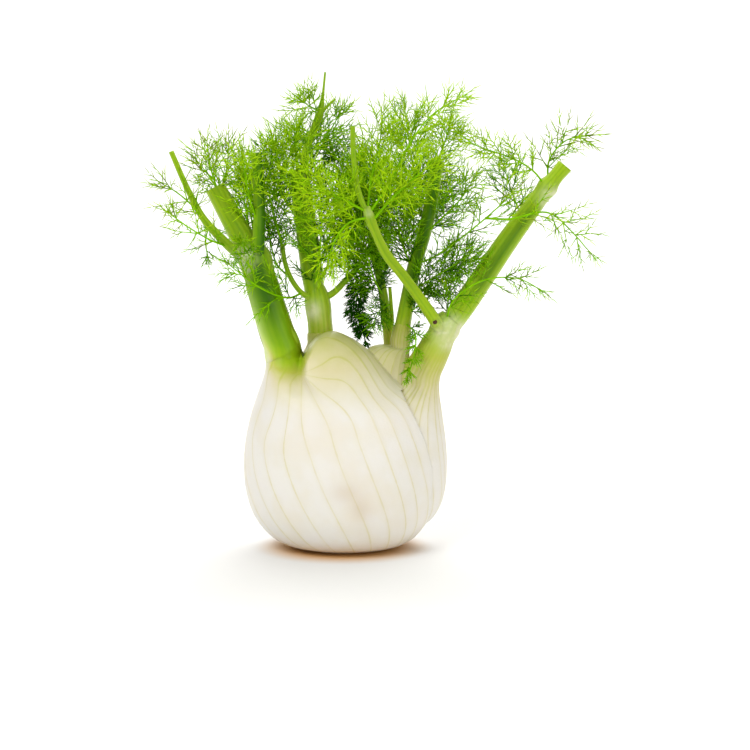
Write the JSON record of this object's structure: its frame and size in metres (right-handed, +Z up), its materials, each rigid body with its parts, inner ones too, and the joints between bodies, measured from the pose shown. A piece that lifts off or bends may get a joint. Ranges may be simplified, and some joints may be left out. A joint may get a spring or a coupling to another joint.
{
  "type": "fennel bulb with cut stalks",
  "caption": "White fennel bulb of overlapping leaf sheaths standing on its cut root plate, with trimmed green stalks and feathery fronds.",
  "frame": {"origin": "middle of the flat cut face under the root plate, which the bulb stands on", "axes": "+Z up the bulb, -Y towards the viewer of the picture, where the broad side with the outermost sheath is, +X to the viewer's right, where the thick leaning stalk is"},
  "size_m": [0.217, 0.0948, 0.2256],
  "materials": {
    "sheath": "satin",
    "stalk": "satin",
    "frond": "matte",
    "dark_frond": "matte",
    "root_plate": "matte"
  },
  "bodies": {
    "root": {"frond_axil": "frond", "frond_back_base": "frond", "frond_back_inner": "frond", "frond_back_left": "frond", "frond_back_low": "frond", "frond_back_right": "frond", "frond_back_side": "frond", "frond_back_tip": "frond", "frond_back_top": "frond", "frond_back_upper": "frond", "frond_dark": "dark_frond", "frond_front_cross": "frond", "frond_head_down": "frond", "frond_head_left": "frond", "frond_head_long": "frond", "frond_head_right": "frond", "frond_head_up": "frond", "frond_heart": "frond", "frond_heart_back": "frond", "frond_heart_front": "frond", "frond_heart_low": "frond", "frond_left_back": "frond", "frond_left_between": "frond", "frond_left_collar": "frond", "frond_left_crown": "frond", "frond_left_crown_back": "frond", "frond_left_crown_front": "frond", "frond_left_hanging": "frond", "frond_left_low": "frond", "frond_left_outer": "frond", "frond_left_stub": "frond", "frond_long_right": "frond", "frond_long_stem_left": "frond", "frond_long_stem_right": "frond", "frond_middle_back": "frond", "frond_middle_front": "frond", "frond_middle_left": "frond", "frond_middle_left_low": "frond", "frond_middle_right": "frond", "frond_middle_top": "frond", "frond_middle_upper": "frond", "frond_right_back": "frond", "frond_right_cross": "frond", "frond_right_curl": "frond", "frond_right_inner": "frond", "frond_right_top": "frond", "root_plate": "root_plate", "sheath_inner_left": "sheath", "sheath_inner_right": "sheath", "sheath_left": "sheath", "sheath_right": "sheath", "stalk_back": "stalk", "stalk_heart": "stalk", "stalk_left": "stalk", "stalk_middle": "stalk", "stalk_right": "stalk"}
  },
  "joints": []
}
